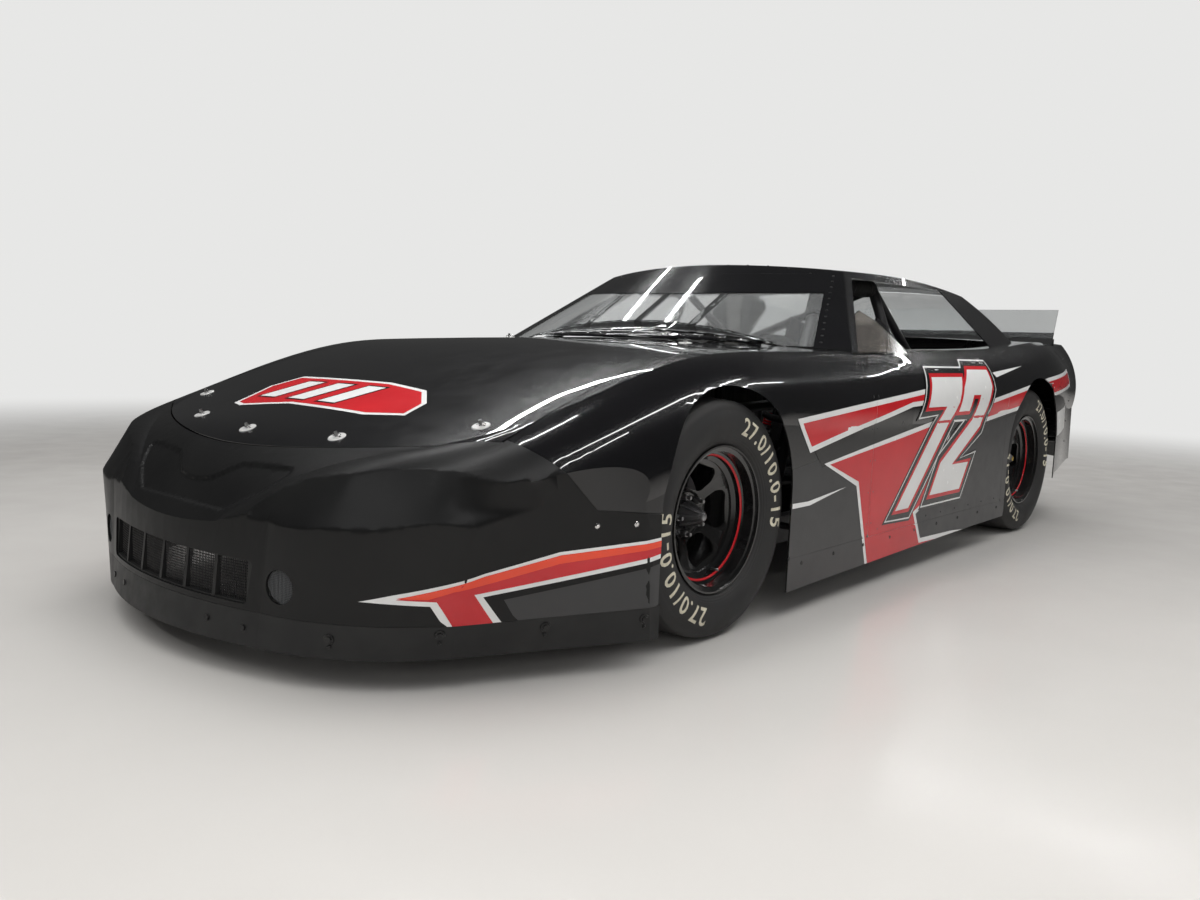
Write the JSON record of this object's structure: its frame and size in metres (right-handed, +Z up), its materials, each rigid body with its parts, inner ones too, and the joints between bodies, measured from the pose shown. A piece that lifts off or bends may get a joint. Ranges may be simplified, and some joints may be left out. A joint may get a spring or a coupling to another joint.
{
  "type": "stock car",
  "caption": "Late-model oval-track stock car with wraparound nose, tube chassis, open cockpit windows, steered front wheels, lift-off hood and hinged deck lid.",
  "frame": {"origin": "on the ground under the middle of the car's length and width", "axes": "+X forward, +Y to the driver's left, +Z up"},
  "size_m": [4.8572, 2.0378, 1.2153],
  "materials": {
    "gloss_black": "gloss black composite panel",
    "satin_black": "satin black moulded plastic",
    "clear_sheet": "clear polycarbonate",
    "chassis_black": "semi-gloss black tube",
    "chassis_grey": "grey powder coat",
    "sheet_aluminium": "brushed sheet",
    "black_sheet": "black anodised sheet",
    "wheel_black": "gloss black steel wheel",
    "tyre_rubber": "racing slick",
    "brake_iron": "machined iron and steel",
    "cast_engine": "painted iron",
    "steel": "bare steel",
    "grip": "suede grip"
  },
  "bodies": {
    "chassis": {"body_stays": "chassis_black", "coilovers": "steel", "cowl_panel": "gloss_black", "dashboard": "black_sheet", "deck_filler": "gloss_black", "door_panels": "gloss_black", "driveshaft": "steel", "engine_block": "cast_engine", "exhaust": "steel", "firewall": "sheet_aluminium", "floor_pan": "black_sheet", "frame_rails": "chassis_black", "front_arms": "chassis_grey", "front_fenders": "gloss_black", "fuel_cell": "black_sheet", "gearbox": "sheet_aluminium", "grille_screen": "satin_black", "interior_deck": "black_sheet", "nose_cover": "satin_black", "nose_valance": "satin_black", "quarter_panels": "gloss_black", "rack_housing": "sheet_aluminium", "radiator": "sheet_aluminium", "rear_axle": "cast_engine", "rear_bumper_cover": "gloss_black", "rear_links": "chassis_grey", "rear_window": "clear_sheet", "rocker_panels": "satin_black", "roll_cage": "chassis_black", "roof_panel": "gloss_black", "sail_panels": "gloss_black", "seat": "sheet_aluminium", "spoiler_blade": "clear_sheet", "spoiler_foot": "black_sheet", "steering_column": "steel", "wind_deflector": "clear_sheet", "windshield": "clear_sheet", "windshield_straps": "black_sheet"},
    "steering_wheel": {"steering_wheel": "grip"},
    "steering_rack": {"steering_rack": "steel"},
    "left_knuckle": {"left_knuckle": "brake_iron"},
    "right_knuckle": {"right_knuckle": "brake_iron"},
    "hood": {"hood": "gloss_black"},
    "deck_lid": {"deck_lid": "gloss_black"},
    "front_left_corner": {"front_left_tyre": "tyre_rubber", "front_left_wheel": "wheel_black", "front_left_hub": "brake_iron"},
    "front_right_corner": {"front_right_tyre": "tyre_rubber", "front_right_wheel": "wheel_black", "front_right_hub": "brake_iron"},
    "rear_left_corner": {"rear_left_tyre": "tyre_rubber", "rear_left_wheel": "wheel_black", "rear_left_hub": "brake_iron"},
    "rear_right_corner": {"rear_right_tyre": "tyre_rubber", "rear_right_wheel": "wheel_black", "rear_right_hub": "brake_iron"}
  },
  "joints": [
    {"name": "left_steer", "type": "hinge", "parent": "chassis", "child": "left_knuckle", "pos_m": [1.245, 0.753, 0.349], "axis": [0, 0, 1], "range_deg": [-20, 20]},
    {"name": "right_steer", "type": "hinge", "parent": "chassis", "child": "right_knuckle", "pos_m": [1.245, -0.753, 0.349], "axis": [0, 0, 1], "range_deg": [-20, 20]},
    {"name": "steering_wheel_turn", "type": "hinge", "parent": "chassis", "child": "steering_wheel", "pos_m": [0.01, 0.395, 0.715], "axis": [-0.9517, 0, 0.307], "range_deg": [-240, 240]},
    {"name": "rack_slide", "type": "slide", "parent": "chassis", "child": "steering_rack", "axis": [0, 1, 0], "range_m": [-0.0416, 0.0416]},
    {"name": "hood_lift", "type": "slide", "parent": "chassis", "child": "hood", "axis": [0, 0, 1], "range_m": [0, 0.4]},
    {"name": "deck_lid_hinge", "type": "hinge", "parent": "chassis", "child": "deck_lid", "pos_m": [-1.7575, 0, 0.938], "axis": [0, 1, 0], "range_deg": [0, 60]},
    {"name": "front_left_spin", "type": "hinge", "parent": "left_knuckle", "child": "front_left_corner", "pos_m": [1.245, 0.838, 0.349], "axis": [0, 1, 0], "continuous": true},
    {"name": "front_right_spin", "type": "hinge", "parent": "right_knuckle", "child": "front_right_corner", "pos_m": [1.245, -0.838, 0.349], "axis": [0, 1, 0], "continuous": true},
    {"name": "rear_left_spin", "type": "hinge", "parent": "chassis", "child": "rear_left_corner", "pos_m": [-1.371, 0.838, 0.349], "axis": [0, 1, 0], "continuous": true},
    {"name": "rear_right_spin", "type": "hinge", "parent": "chassis", "child": "rear_right_corner", "pos_m": [-1.371, -0.838, 0.349], "axis": [0, 1, 0], "continuous": true}
  ],
  "couplings": [
    {"joint": "right_steer", "follows": "left_steer", "ratio": 1},
    {"joint": "steering_wheel_turn", "follows": "left_steer", "ratio": 12},
    {"joint": "rack_slide", "follows": "left_steer", "m_per_rad": 0.1185}
  ]
}
